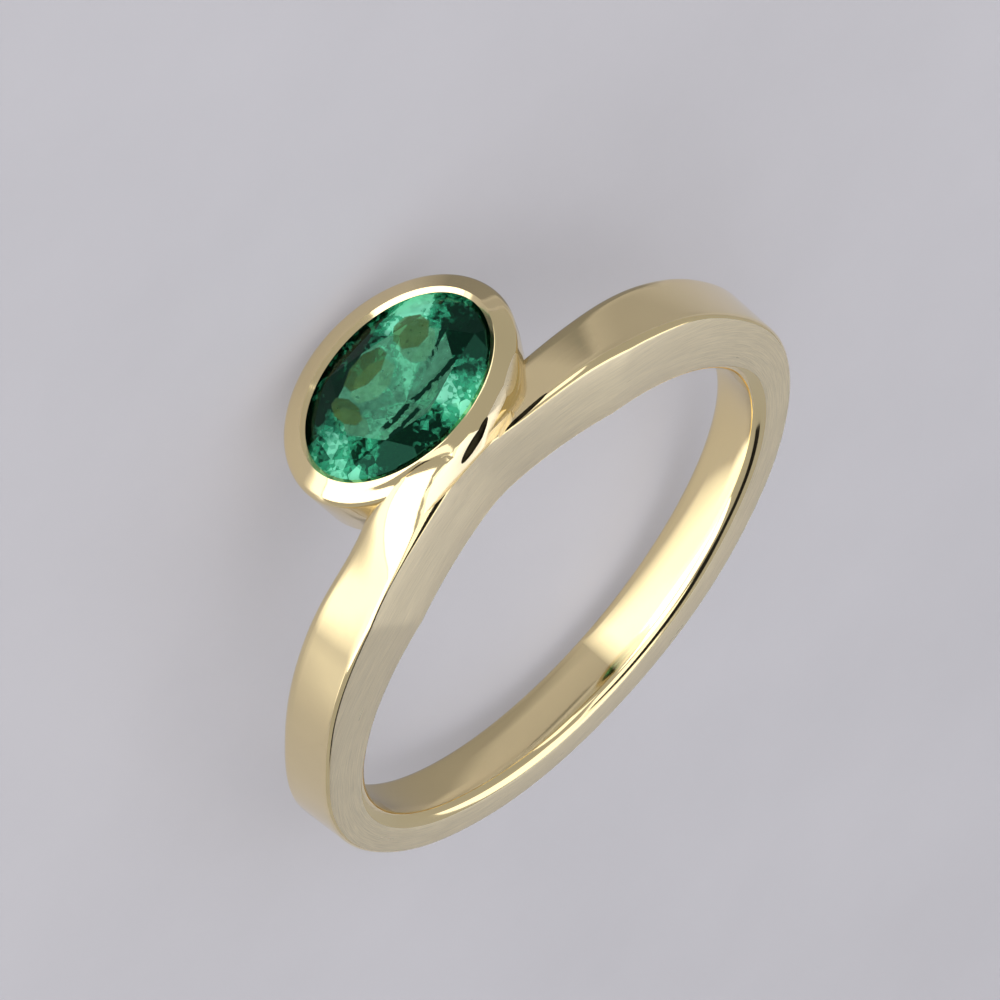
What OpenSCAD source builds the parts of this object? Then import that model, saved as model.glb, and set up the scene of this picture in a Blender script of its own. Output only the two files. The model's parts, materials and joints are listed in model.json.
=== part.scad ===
// An oval emerald engagement ring, lying on its side as it rests by itself. Millimetres.
// The ring is drawn about its finger hole, whose axis is Y, with the setting at +Z and the side
// face that is seen at -Y. The last step lays it down on the back of its band and the far edge of
// its setting.

/* [Finger hole] */
// radius of the finger hole
bore_r = 8.5; // [7.5:0.05:10.5]
// rounding of the hole's far edge
bore_round = 0.28; // [0.1:0.02:0.5]
// width of the softer rounding of the hole's near edge, on the side face
soft_edge = 0.56; // [0.2:0.02:0.8]

/* [Band] */
// rounding of the band's far outer edge
edge_round = 0.24; // [0.1:0.02:0.5]
// rounding of the band's near outer edge, on the side face
near_edge = 0.15; // [0.05:0.01:0.4]
// width of the band along the finger
band_w = 1.86; // [1.4:0.02:2.6]
// extra width of the near side at the back of the band
back_extra = 0.08; // [0:0.01:0.3]
// how far the near side steps back, in a shallow V, in front of the setting
notch_depth = 0.45; // [0:0.01:0.6]
// half of the V's spread around the ring, in degrees
notch_half = 27; // [10:1:40]
// swell of the solder blend between the left arm and the setting's lip
blend_h = 0.40; // [0:0.02:0.6]

/* [Setting] */
// half of the setting's length, along the band
cup_a = 4.06; // [3:0.02:6]
// half of the setting's width, across the band
cup_b = 2.95; // [2:0.01:5]
// middle of the setting, counted from the band's middle towards the far side
cup_y = 2.49; // [0:0.01:3.5]
// height of the setting's shoulder above the hole's axis
shoulder_z = 12.6; // [11:0.02:15]
// rise from the shoulder to the crest of the lip
lip_rise = 0.60; // [0.1:0.01:1]
// width of the sloping lip at the setting's long ends
lip_w = 0.64; // [0.3:0.02:1.2]
// width of the bevel cut inside the lip's crest
bevel = 0.13; // [0.02:0.01:0.3]
// how far the near left of the rim is filed in beside the arm
near_trim = 0.30; // [0:0.02:0.5]
// height of the setting's open underside above the hole's axis
cup_base_z = 9.8; // [9.2:0.05:11]
// how much narrower the setting is at its underside
cup_taper = 0.3; // [0:0.02:1]
// wall of the open back
back_wall = 0.7; // [0.4:0.02:1.2]
// lean from upright of the flat filed on the setting's near side, in degrees
flat_lean = 28; // [10:1:60]

/* [Emerald] */
// half length of the stone at its girdle
stone_a = 3.5; // [2.5:0.02:5]
// half width of the stone at its girdle
stone_b = 2.31; // [1.5:0.01:4]
// height of the girdle's lower edge above the hole's axis
girdle_z = 12.68; // [12:0.02:14]
// thickness of the girdle
girdle_t = 0.1; // [0.04:0.01:0.3]
// height of the crown, from girdle to table
crown_h = 0.56; // [0.2:0.02:1.2]
// depth of the pavilion, from girdle to point
pavilion_h = 1.9; // [1:0.05:3]
// table's size as a share of the stone's
table_share = 0.6; // [0.4:0.01:0.8]
// clearance around the stone in its seat
seat_gap = 0.03; // [0.01:0.005:0.1]

/* [Hidden] */
// the band's outline, a row per station: degrees from the setting (left arm negative), outer radius
// at the near side, outer radius at the far side
ANGLE = 0;
NEAR_R = 1;
FAR_R = 2;
OUTLINE = [
  [-180, 10.22, 10.30], [-165, 10.20, 10.28], [-148, 10.18, 10.20], [-130, 10.06, 10.08],
  [-112, 9.92, 10.00], [-96, 9.96, 10.06], [-84, 10.05, 10.20], [-73, 10.18, 10.28],
  [-64, 10.34, 10.42], [-56, 10.60, 10.68], [-48, 10.97, 11.02], [-40, 11.32, 11.38],
  [-34, 11.56, 11.64], [-29, 11.78, 11.76], [-24, 12.00, 11.80], [-19, 12.12, 12.02],
  [-14, 12.14, 12.70], [-9, 12.24, 12.95], [-4, 12.48, 12.95], [1, 12.46, 12.60],
  [7, 12.04, 11.85], [14, 11.96, 11.72], [20, 11.94, 11.70], [26, 11.82, 11.68],
  [31, 11.65, 11.66], [37, 11.42, 11.54], [44, 11.20, 11.28], [52, 10.86, 10.98],
  [62, 10.52, 10.64], [73, 10.32, 10.42], [84, 10.20, 10.26], [98, 10.08, 10.12],
  [114, 10.04, 10.06], [130, 10.10, 10.12], [148, 10.16, 10.20], [165, 10.20, 10.28],
  [180, 10.22, 10.30]];
stations = 108;        // sections around the band
arc_steps = 4;         // steps of each rounded outer edge
hole_steps = 3;        // steps of each rounded edge of the hole
pull = 0.55;           // fullness of a rounded corner
smooth_reach = 5;      // degrees each way over which the outline is evened out, as a file leaves it
smooth_steps = 4;      // samples each way
blend_at = -8;         // middle of the blend, in degrees
blend_half = 17;       // half of its spread
top_steps = 5;         // parts of the band's top between its two rounded edges
notch_soft = 4;        // rounding of the V's bottom, in degrees
back_from = 130;       // where the near side begins to grow fuller, in degrees from the setting
back_spread = 35;      // how gradually it does
soft_from = 60;        // where the hole's near rounding begins to widen, in degrees from the setting
soft_spread = 30;      // how gradually it does
bore_under = 0.12;     // how far the drawn band reaches inside the hole before the hole is cut
cup_steps = 64;        // sides of the setting
mains = 8;             // main facets of the stone's crown, and of its pavilion
seat_a = stone_a + seat_gap;
seat_b = stone_b + seat_gap;
lip_a = cup_a - lip_w;
side_share = 1.1;      // insets of the setting's long sides, as a share of those at its ends
lip_b = cup_b - side_share * lip_w;
shoulder_round = 0.20; // rounding of the setting's shoulder
crest_round = 0.07;    // rounding of the lip's crest
trim_spread = 0.4;     // share of the half length over which the trimmed near rim fades in
right_trim = 0.6;      // the trim beside the right arm, as a share of the one beside the left arm
wall_trim = 0.5;       // height over which the trim leans in below the shoulder
wall_lean = 0.02;      // how far the wall leans in by the shoulder's rounding
mouth_h = 0.03;        // upright height of the lip's mouth, below the bevel
above = 1;             // how far a cutter runs past what it cuts
flat_y = -band_w / 2 + notch_depth;   // foot of the filed flat, level with the bottom of the V
flat_z = 12.2;         // height of that foot
flat_reach = 3;        // how far the flat's cutter reaches each way
ledge_drop = 0.62;     // depth below the girdle of the ledge that the stone rests on
lip_thin = 0.15;       // rise of the lip's underside over the stone

// value of a column at an angle, on a smooth curve through the outline's rows
function row_below(a, i = 0) = i + 2 >= len(OUTLINE) || OUTLINE[i + 1][ANGLE] > a ? i : row_below(a, i + 1);
function slope(i, c) = let (n = len(OUTLINE) - 1, lo = i == 0 ? n - 1 : i - 1, hi = i == n ? 1 : i + 1,
                            span = (OUTLINE[hi][ANGLE] - OUTLINE[lo][ANGLE] + 360) % 360)
  (OUTLINE[hi][c] - OUTLINE[lo][c]) / span;
function curve(a, c) = let (i = row_below(a), p = OUTLINE[i], q = OUTLINE[i + 1], w = q[ANGLE] - p[ANGLE],
                            t = (a - p[ANGLE]) / w, s = 1 - t)
  (1 + 2 * t) * s * s * p[c] + t * s * s * w * slope(i, c)
  + t * t * (3 - 2 * t) * q[c] - t * t * s * w * slope(i + 1, c);
function weight(k) = 1 - abs(k) / (smooth_steps + 1);
function sum(v, i = 0) = i < len(v) ? v[i] + sum(v, i + 1) : 0;
function outline(a, c) = sum([for (k = [-smooth_steps:smooth_steps])
  weight(k) * curve((a + smooth_reach * k / smooth_steps + 540) % 360 - 180, c)]) / (smooth_steps + 1);
function ease(t) = let (u = min(1, max(0, t))) u * u * (3 - 2 * u);

// near side of the band at an angle: a shallow V before the setting, a little fuller at the back
function notch(a) = max(0, 1 - (sqrt(a * a + notch_soft * notch_soft) - notch_soft / 2) / notch_half);
function near_y(a) =
  -band_w / 2 + notch_depth * notch(a) - back_extra * ease((abs(a) - back_from) / back_spread);
far_y = band_w / 2;
// swell of the band's top where the left arm is blended onto the setting's lip
function swell(a) = blend_h * ease(1 - abs(a - blend_at) / blend_half);
// width of the hole's near rounding: full round the back and right arm, plain beside the setting
function soft(a) = bore_round + (soft_edge - bore_round) * ease((abs(a) - soft_from) / soft_spread);

// a rounded corner from p to q, tangent to both sides that meet at m
function corner(p, m, q, n) = let (c = p + (m - p) * pull, d = q + (m - q) * pull)
  [for (k = [0:n]) let (t = k / n, s = 1 - t)
    p * s * s * s + 3 * c * s * s * t + 3 * d * s * t * t + q * t * t * t];

// a section as [radius, y] points: near rounding of the hole, outer near edge, top, outer far edge,
// far rounding
function top(a, n, f, y) = let (yn = near_y(a), t = (y - yn) / (far_y - yn))
  [n + (f - n) * t + 4 * swell(a) * t * (1 - t), y];
function section(a) = let (yn = near_y(a), d = bore_round, e = near_edge, g = edge_round,
  r = bore_r - bore_under, n = outline(a, NEAR_R), f = outline(a, FAR_R),
  near_lip = corner([bore_r, yn + d], [bore_r, yn], [bore_r + soft(a), yn], hole_steps),
  far_lip = corner([bore_r + d, far_y], [bore_r, far_y], [bore_r, far_y - d], hole_steps))
  concat([[r, yn + d + bore_under]],
         [for (k = [1:hole_steps]) near_lip[k]],
         corner([n - e, yn], [n, yn], top(a, n, f, yn + e), arc_steps),
         [for (k = [1:top_steps - 1]) top(a, n, f, yn + e + (far_y - yn - e - g) * k / top_steps)],
         corner(top(a, n, f, far_y - g), [f, far_y], [f - g, far_y], arc_steps),
         [for (k = [0:hole_steps - 1]) far_lip[k]],
         [[r, far_y - d - bore_under]]);

// skin of n-sided rings of points, closed on itself or open at both ends
function ring_faces(rings, n, shut) = [for (j = [0:rings - (shut ? 1 : 2)], k = [0:n - 1])
  let (m = (j + 1) % rings * n, a = j * n + k, b = j * n + (k + 1) % n, c = m + (k + 1) % n, d = m + k)
  each [[a, b, c], [a, c, d]]];

band_points = [for (j = [0:stations - 1]) let (a = -180 + 360 * j / stations)
  for (p = section(a)) [p[0] * sin(a), p[1], p[0] * cos(a)]];

module band_body()
  polyhedron(band_points, ring_faces(stations, len(band_points) / stations, true), convexity = 6);

module ring_hole() rotate([90, 0, 0]) cylinder(h = 4 * band_w, r = bore_r, center = true, $fn = 180);

// points of ovals stacked along Z, from rows of [half length, half width, height, how far the near
// side is filed in], lowest first
function beside(left) = ease(left / trim_spread) + right_trim * ease(-left / trim_spread);
function oval_points(rows) = [for (r = rows, k = [0:cup_steps - 1]) let (t = 360 * k / cup_steps)
  [r[0] * cos(t), cup_y + r[1] * sin(t) + r[3] * beside(-cos(t)) * max(0, -sin(t)), r[2]]];
module oval_stack(rows) {
  n = len(rows);
  foot = n * cup_steps;
  lids = [for (k = [0:cup_steps - 1]) let (m = (k + 1) % cup_steps)
    each [[foot, k, m], [foot + 1, foot - cup_steps + m, foot - cup_steps + k]]];
  sides = [for (f = ring_faces(n, cup_steps, false)) [f[2], f[1], f[0]]];
  polyhedron(concat(oval_points(rows), [[0, cup_y, rows[0][2]], [0, cup_y, rows[n - 1][2]]]),
             concat(sides, lids), convexity = 4);
}

// the setting's wall and lip as [inset, height], lowest first, then the ovals that it makes
shoulder = [0, shoulder_z];
crest = [lip_w, shoulder_z + lip_rise];
up_slope = (crest - shoulder) / norm(crest - shoulder);
wall_top = [wall_lean, shoulder_z - shoulder_round];
wall_foot = [cup_taper, cup_base_z];
slope_from = shoulder + shoulder_round * up_slope;
slope_to = crest - crest_round * up_slope;
LIP = concat(
  [wall_foot, wall_top + (wall_foot - wall_top) * wall_trim / (wall_top[1] - cup_base_z)],
  corner(wall_top, shoulder, slope_from, 3),
  [for (k = [1:2]) slope_from + (slope_to - slope_from) * k / 3],
  corner(slope_to, crest, crest + [crest_round, 0], 2));
CUP = [for (p = LIP) [cup_a - p[0], cup_b - side_share * p[0], p[1],
  near_trim * ease(1 - (wall_top[1] - p[1]) / wall_trim)
  * (1 - ease((p[0] - slope_from[0]) / (lip_w - slope_from[0])))]];

// the flat filed on the setting's near side, rising from the bottom of the V
module filed_flat() translate([0, flat_y, flat_z]) rotate([-flat_lean, 0, 0])
  translate([-flat_reach, -flat_reach, 0]) cube([2 * flat_reach, flat_reach, flat_reach]);

// rows of the seat: open back, ledge, girdle, underside of the lip, then the bevel out to the crest
seat_top = girdle_z + girdle_t + seat_gap;
mouth = [lip_a - bevel, lip_b - bevel];
brim = [lip_a + crest_round / 2, lip_b + crest_round / 2];
module stone_seat() oval_stack([
  [seat_a - back_wall, seat_b - back_wall, cup_base_z - above, 0],
  [seat_a - back_wall, seat_b - back_wall, girdle_z - ledge_drop, 0],
  [seat_a, seat_b, girdle_z - seat_gap, 0],
  [seat_a, seat_b, seat_top, 0],
  [mouth[0], mouth[1], seat_top + lip_thin, 0],
  [mouth[0], mouth[1], seat_top + lip_thin + mouth_h, 0],
  [brim[0], brim[1], shoulder_z + lip_rise, 0],
  [brim[0], brim[1], shoulder_z + lip_rise + above, 0]]);

// corners of a round brilliant of radius 1: table, stars, girdle, lower breaks, point
star_r = 0.8;
break_r = 0.34;
function spoke(r, k) = [r * cos(180 * k / mains), r * sin(180 * k / mains)];
STONE = concat(
  [for (k = [0:2:2 * mains - 1]) let (p = spoke(table_share, k)) [p[0], p[1], girdle_t + crown_h]],
  [for (k = [1:2:2 * mains - 1]) let (p = spoke(star_r, k))
    [p[0], p[1], girdle_t + crown_h * (1 - star_r * cos(180 / mains)) / (1 - table_share)]],
  [for (k = [0:2 * mains - 1], z = [0, girdle_t]) let (p = spoke(1, k)) [p[0], p[1], z]],
  [for (k = [1:2:2 * mains - 1]) let (p = spoke(break_r, k))
    [p[0], p[1], -pavilion_h * (1 - break_r * cos(180 / mains))]],
  [[0, 0, -pavilion_h]]);
stone_points = [for (p = STONE) [p[0] * stone_a, cup_y + p[1] * stone_b, girdle_z + p[2]]];

// the ring as it rests: touching at the back of the band and at the setting's far shoulder
lean = atan((cup_y + cup_b - far_y) / (shoulder_z + outline(180, FAR_R) - edge_round));
function laid(p) = [p[0], p[1] * sin(lean) + p[2] * cos(lean), p[2] * sin(lean) - p[1] * cos(lean)];
LAID = [for (p = concat(band_points, oval_points(CUP), stone_points)) laid(p)];
function low(i) = min([for (p = LAID) p[i]]);
function high(i) = max([for (p = LAID) p[i]]);
module lay_down() translate([-(low(0) + high(0)) / 2, -(low(1) + high(1)) / 2, -low(2)])
  rotate([lean - 90, 0, 0]) children();

module mount() color([0.80, 0.72, 0.52]) lay_down() difference() {
  union() { band_body(); oval_stack(CUP); }
  ring_hole();
  stone_seat();
  filed_flat();
}

module emerald() color([0.10, 0.52, 0.33, 0.8]) lay_down()
  hull() polyhedron(stone_points, [[for (k = [0:len(stone_points) - 1]) k]]);

mount();
emerald();
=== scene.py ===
"""Dresses the oval emerald ring: a polished gold mount with a satin side, and a cut stone in its bezel."""
import json
import math

import bmesh
import bpy
from mathutils import Matrix, Vector


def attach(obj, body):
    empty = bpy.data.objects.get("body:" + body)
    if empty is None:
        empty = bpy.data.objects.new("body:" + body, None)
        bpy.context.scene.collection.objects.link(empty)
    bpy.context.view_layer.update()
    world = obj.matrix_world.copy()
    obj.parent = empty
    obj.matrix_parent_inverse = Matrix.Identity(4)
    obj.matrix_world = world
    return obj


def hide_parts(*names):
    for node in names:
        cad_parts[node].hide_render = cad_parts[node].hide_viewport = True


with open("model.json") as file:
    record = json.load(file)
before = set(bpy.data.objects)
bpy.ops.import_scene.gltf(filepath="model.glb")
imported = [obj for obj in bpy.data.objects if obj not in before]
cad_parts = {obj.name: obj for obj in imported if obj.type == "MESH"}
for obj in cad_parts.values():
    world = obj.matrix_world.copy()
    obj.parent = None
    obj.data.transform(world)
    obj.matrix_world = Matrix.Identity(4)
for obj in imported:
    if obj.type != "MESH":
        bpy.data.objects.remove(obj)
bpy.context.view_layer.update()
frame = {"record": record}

bl_info = {
    "name": "Emerald bezel ring",
    "version": (1, 0, 0),
    "blender": (4, 5, 0),
    "location": "View3D > Sidebar > Ring",
    "description": "Builds the gold mount, the oval emerald and a plain studio on the packed model",
    "category": "Object",
}

MM = 0.001
HOLE = next(m for m in frame["record"]["mounts"] if m["name"] == "finger_hole")
GOLD_NODE, STONE_NODE = "mount", "emerald"

# Outline of the band: degrees from the setting (left arm negative), outer radius of the near and of the
# far side in millimetres.
OUTLINE = (
    (-180, 10.22, 10.30), (-165, 10.20, 10.28), (-148, 10.18, 10.20), (-130, 10.06, 10.08),
    (-112, 9.92, 10.00), (-96, 9.96, 10.06), (-84, 10.05, 10.20), (-73, 10.18, 10.28),
    (-64, 10.34, 10.42), (-56, 10.60, 10.68),
    (-48, 10.97, 11.02), (-40, 11.32, 11.38), (-34, 11.56, 11.64), (-29, 11.78, 11.76), (-24, 12.00, 11.80),
    (-19, 12.12, 12.02), (-14, 12.14, 12.70), (-9, 12.24, 12.95), (-4, 12.48, 12.95), (1, 12.46, 12.60),
    (7, 12.04, 11.85), (14, 11.96, 11.72), (20, 11.94, 11.70), (26, 11.82, 11.68), (31, 11.65, 11.66),
    (37, 11.42, 11.54), (44, 11.20, 11.28), (52, 10.86, 10.98), (62, 10.52, 10.64), (73, 10.32, 10.42),
    (84, 10.20, 10.26), (98, 10.08, 10.12), (114, 10.04, 10.06), (130, 10.10, 10.12), (148, 10.16, 10.20),
    (165, 10.20, 10.28), (180, 10.22, 10.30))
NEAR_SIDE, FAR_SIDE = 1, 2


def length(name, about, default):
    """A size that the user may change, its default in millimetres."""
    return bpy.props.FloatProperty(name=name, description=about, default=default * MM, unit="LENGTH", min=0)


def colour(name, about, default):
    """A colour that the user may change."""
    return bpy.props.FloatVectorProperty(name=name, description=about, default=default, subtype="COLOR",
                                         size=3, min=0, max=1)


class BandSizes(bpy.types.PropertyGroup):
    """Sizes of the band."""
    width: length("Width", "Width of the band along the finger", 1.86)
    hole_rounding: length("Hole rounding", "Rounding of the hole's far edge", 0.28)
    soft_rounding: length("Soft rounding", "Softer rounding of the hole's near edge, round the back", 0.56)
    edge_rounding: length("Far edge rounding", "Rounding of the far outer edge", 0.24)
    near_rounding: length("Near edge rounding", "Rounding of the near outer edge, on the side face", 0.15)
    back_extra: length("Back fullness", "Extra width of the near side at the back", 0.08)
    notch_depth: length("V depth", "Step of the near side, in a shallow V, before the setting", 0.45)
    notch_half: bpy.props.FloatProperty(
        name="V spread", description="Half of the V's spread round the ring", default=math.radians(27),
        subtype="ANGLE")
    blend: length("Solder blend", "Swell between the left arm and the lip", 0.40)


class SettingSizes(bpy.types.PropertyGroup):
    """Sizes of the bezel setting."""
    half_length: length("Half length", "Half of the setting along the band", 4.06)
    half_width: length("Half width", "Half of the setting across the band", 2.95)
    offset: length("Offset", "Middle of the setting, from the band's middle to the far side", 2.49)
    shoulder: length("Shoulder height", "Shoulder above the hole's axis", 12.6)
    lip_rise: length("Lip rise", "Rise from the shoulder to the crest of the lip", 0.60)
    lip_width: length("Lip width", "Width of the sloping lip at the long ends", 0.64)
    bevel: length("Inner bevel", "Width of the bright bevel cut inside the lip's crest", 0.13)
    near_trim: length("Near trim", "How far the near left rim is filed in beside the arm", 0.30)
    underside: length("Underside", "Open underside above the hole's axis", 9.8)
    taper: length("Taper", "How much narrower the setting is at its underside", 0.3)
    back_wall: length("Back wall", "Wall of the open back", 0.7)
    flat_lean: bpy.props.FloatProperty(
        name="Flat lean", description="Lean of the flat filed on the near side", default=math.radians(28),
        subtype="ANGLE")


class StoneSizes(bpy.types.PropertyGroup):
    """Sizes of the stone."""
    half_length: length("Half length", "Half length at the girdle", 3.5)
    half_width: length("Half width", "Half width at the girdle", 2.31)
    girdle_height: length("Girdle height", "Girdle's lower edge above the hole's axis", 12.68)
    girdle: length("Girdle", "Thickness of the girdle", 0.1)
    crown: length("Crown", "Height from girdle to table", 0.56)
    pavilion: length("Pavilion", "Depth from girdle to point", 1.9)
    table_share: bpy.props.FloatProperty(
        name="Table", description="Table's size as a share of the stone's", default=0.6, min=0.3, max=0.9,
        subtype="FACTOR")


class Finishes(bpy.types.PropertyGroup):
    """Colours of the ring and of the floor."""
    gold: colour("Gold", "Pale yellow gold, polished", (0.86, 0.71, 0.40))
    satin: colour("Satin gold", "The side face's gold, paler under its fine lines", (0.86, 0.75, 0.53))
    emerald: colour("Emerald", "Body colour of the stone", (0.035, 0.33, 0.18))
    floor: colour("Floor", "Pale floor", (0.24, 0.235, 0.252))


# The ring is shaped about its finger hole, axis along Y and setting at +Z, and laid down where the
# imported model's hole is.

def laid_down():
    """From the upright ring to its place lying on the floor."""
    away = -Vector(HOLE["axis"]).normalized()
    across = Vector((1, 0, 0))
    up = across.cross(away)
    turn = Matrix((across, away, up)).transposed().to_4x4()
    return Matrix.Translation(HOLE["pos_m"]) @ turn


def ease(t):
    """Goes softly from 0 to 1 as t does."""
    t = min(1.0, max(0.0, t))
    return t * t * (3 - 2 * t)


def outline_row(angle):
    """The outline's row at or before an angle."""
    for i in range(len(OUTLINE) - 1):
        if OUTLINE[i + 1][0] > angle:
            return i
    return len(OUTLINE) - 2


def outline_slope(i, side):
    """Slope of the outer radius at a row, in millimetres per degree."""
    last = len(OUTLINE) - 1
    low, high = (i - 1 if i else last - 1), (i + 1 if i < last else 1)
    return (OUTLINE[high][side] - OUTLINE[low][side]) / ((OUTLINE[high][0] - OUTLINE[low][0]) % 360)


def outline_at(angle, side):
    """Outer radius at an angle, in metres, on a smooth curve through the outline's rows."""
    angle = (angle + 180) % 360 - 180
    i = outline_row(angle)
    low, high = OUTLINE[i], OUTLINE[i + 1]
    wide = high[0] - low[0]
    t = (angle - low[0]) / wide
    s = 1 - t
    return MM * ((1 + 2 * t) * s * s * low[side] + t * s * s * wide * outline_slope(i, side)
                 + t * t * (3 - 2 * t) * high[side] - t * t * s * wide * outline_slope(i + 1, side))


def smooth_outline(angle, side, reach=5.0):
    """The outline with its small wobbles evened out, as a file and a buff leave it."""
    steps = 4
    total = weights = 0.0
    for k in range(-steps, steps + 1):
        w = 1 - abs(k) / (steps + 1)
        total += w * outline_at(angle + reach * k / steps, side)
        weights += w
    return total / weights


# Places round the ring, in degrees from the setting: the rounding of the V's bottom, where the back's
# fullness and the hole's softer rounding fade in, and the middle and half of the solder blend's spread.
NOTCH_SOFT = 4.0
BACK_FROM, BACK_SPREAD = 130.0, 35.0
SOFT_FROM, SOFT_SPREAD = 60.0, 30.0
BLEND_AT, BLEND_HALF = -8.0, 17.0

# The near rounding is wider on the right arm beside the setting, by this share at this angle.
WIDE_EDGE, WIDE_EDGE_AT = 0.8, 26.0

# Sections round the ring, and points along the parts of each.
STATIONS = 480
HOLE_STEPS, SOFT_STEPS, EDGE_STEPS, TOP_STEPS, SIDE_STEPS = 4, 7, 7, 10, 3
# Finishes by index; the nicks' finish is painted shade.
POLISHED, SATIN, INNER, SHADED_NICK, FILED = range(5)


def near_side(band, angle):
    """Where the satin side face lies across the band, at an angle."""
    spread = math.degrees(band.notch_half)
    notch = max(0.0, 1 - (math.hypot(angle, NOTCH_SOFT) - NOTCH_SOFT / 2) / spread)
    back = ease((abs(angle) - BACK_FROM) / BACK_SPREAD)
    return -band.width / 2 + band.notch_depth * notch - band.back_extra * back


def corner(a, middle, b, steps):
    """Points of a rounded corner from a to b, tangent to both sides that meet at the middle."""
    a, middle, b = Vector(a), Vector(middle), Vector(b)
    pull = 0.55
    for k in range(steps):
        t = k / (steps - 1)
        s = 1 - t
        c, d = a.lerp(middle, pull), b.lerp(middle, pull)
        yield tuple(a * s ** 3 + c * 3 * s * s * t + d * 3 * s * t * t + b * t ** 3)


def straight(a, b, steps):
    """Points between a and b, without the two ends."""
    for k in range(1, steps):
        yield a[0] + (b[0] - a[0]) * k / steps, a[1] + (b[1] - a[1]) * k / steps


def section(band, angle):
    """Points (radius, y) round the band's section, starting inside the hole at its far rounding."""
    hole = HOLE["dims"]["r_mm"] * MM
    near, far = near_side(band, angle), band.width / 2
    d, g = band.hole_rounding, band.edge_rounding
    e = band.near_rounding * (1 + WIDE_EDGE * ease(1 - abs(angle - WIDE_EDGE_AT) / WIDE_EDGE_AT))
    soft = d + (band.soft_rounding - d) * ease((abs(angle) - SOFT_FROM) / SOFT_SPREAD)
    near_r, far_r = smooth_outline(angle, NEAR_SIDE), smooth_outline(angle, FAR_SIDE)
    swell = band.blend * ease(1 - abs(angle - BLEND_AT) / BLEND_HALF)

    def top(y):
        t = (y - near) / (far - near)
        return near_r + (far_r - near_r) * t + 4 * swell * t * (1 - t), y

    low_edge, high_edge = top(near + e), top(far - g)
    outer = [corner((near_r - e, near), (near_r, near), low_edge, EDGE_STEPS),
             (top(near + e + (far - near - e - g) * k / TOP_STEPS) for k in range(1, TOP_STEPS)),
             corner(high_edge, (far_r, far), (far_r - g, far), EDGE_STEPS)]
    return [(hole, far - d),
            *straight((hole, far - d), (hole, near + d), HOLE_STEPS),
            *corner((hole, near + d), (hole, near), (hole + soft, near), SOFT_STEPS),
            *straight((hole + soft, near), (near_r - e, near), SIDE_STEPS),
            *(point for part in outer for point in part),
            *straight((far_r - g, far), (hole + d, far), SIDE_STEPS),
            *list(corner((hole + d, far), (hole, far), (hole, far - d), SOFT_STEPS))[:-1]]


def face_kind(place_low, place_high):
    """Finish of the strip between two neighbouring places of the section."""
    satin_from = HOLE_STEPS + SOFT_STEPS - 2
    satin_to = HOLE_STEPS + SOFT_STEPS + SIDE_STEPS
    if satin_from <= place_low and place_high <= satin_to and place_high > place_low:
        return SATIN
    if place_high <= HOLE_STEPS + 2 or place_low == 0 and place_high > satin_to:
        return INNER
    return POLISHED


def band_mesh(band):
    """The band: one section spun round the finger hole, then drawn out to the outline."""
    bm = bmesh.new()
    place = bm.verts.layers.int.new("place")
    first = section(band, -180)
    ring = [bm.verts.new((0, y, -r)) for r, y in first]
    for k, v in enumerate(ring):
        v[place] = k
    edges = [bm.edges.new((ring[k], ring[(k + 1) % len(ring)])) for k in range(len(ring))]
    bmesh.ops.spin(bm, geom=ring + edges, cent=(0, 0, 0), axis=(0, 1, 0), angle=math.tau, steps=STATIONS,
                   use_merge=True)
    sections = [section(band, -180 + 360 * j / STATIONS) for j in range(STATIONS)]
    for v in bm.verts:
        angle = math.atan2(v.co.x, v.co.z)
        j = round((math.degrees(angle) + 180) * STATIONS / 360) % STATIONS
        r, y = sections[j][v[place]]
        v.co = r * math.sin(angle), y, r * math.cos(angle)
    for f in bm.faces:
        places = sorted({v[place] for v in f.verts})
        f.material_index = face_kind(places[0], places[-1])
    bmesh.ops.recalc_face_normals(bm, faces=bm.faces)
    return bm


def oval_stack(centre_y, rows, steps=144):
    """A closed stack of ovals along Z, from rows of half length, half width, height and, where the near rim
    is filed in, how far."""
    bm = bmesh.new()
    rim = bmesh.ops.create_circle(bm, cap_ends=True, radius=1, segments=steps)["verts"]
    around = {v: math.atan2(v.co.y, v.co.x) for v in rim}
    lid_faces = bm.faces[:]
    shift = {}
    for n, (a, b, z, *trim) in enumerate(rows):
        if n:
            lid = bmesh.ops.extrude_face_region(bm, geom=lid_faces)
            bmesh.ops.delete(bm, geom=[f for f in lid_faces if n > 1], context="FACES_ONLY")
            lid_faces = [g for g in lid["geom"] if isinstance(g, bmesh.types.BMFace)]
            rim = lid_faces[0].verts[:]
            around = {v: math.atan2((v.co.y - centre_y) / last[1], v.co.x / last[0]) for v in rim}
        for v in rim:
            left, near = -math.cos(around[v]), -math.sin(around[v])
            reach = ease(left / TRIM_SPREAD) + RIGHT_TRIM * ease(-left / TRIM_SPREAD)
            filed = trim[0] * reach * max(0, near) if trim else 0
            v.co = -a * left, centre_y - b * near, z
            shift[v] = filed
        last = a, b
    for v, filed in shift.items():
        if v.is_valid:
            v.co.y += filed
    bmesh.ops.recalc_face_normals(bm, faces=bm.faces)
    return bm


def object_from(bm, name, materials):
    """Makes an object of a bmesh, which is used up."""
    mesh = bpy.data.meshes.new(name)
    bm.to_mesh(mesh)
    bm.free()
    for m in materials:
        mesh.materials.append(m)
    o = bpy.data.objects.new(name, mesh)
    bpy.context.scene.collection.objects.link(o)
    return o


def combined(base, other, operation):
    """Applies a boolean of another object to the base and removes the other."""
    cut = base.modifiers.new(operation, "BOOLEAN")
    cut.operation, cut.object, cut.solver = operation, other, "EXACT"
    depsgraph = bpy.context.evaluated_depsgraph_get()
    shaped = bpy.data.meshes.new_from_object(base.evaluated_get(depsgraph))
    if not shaped.polygons:
        raise RuntimeError(f"the {operation} with {other.name} left nothing")
    base.modifiers.remove(cut)
    base.data = shaped
    bpy.data.objects.remove(other)


MERGE_DISTANCE, CRISP_OVER = 0.001 * MM, 32


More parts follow.
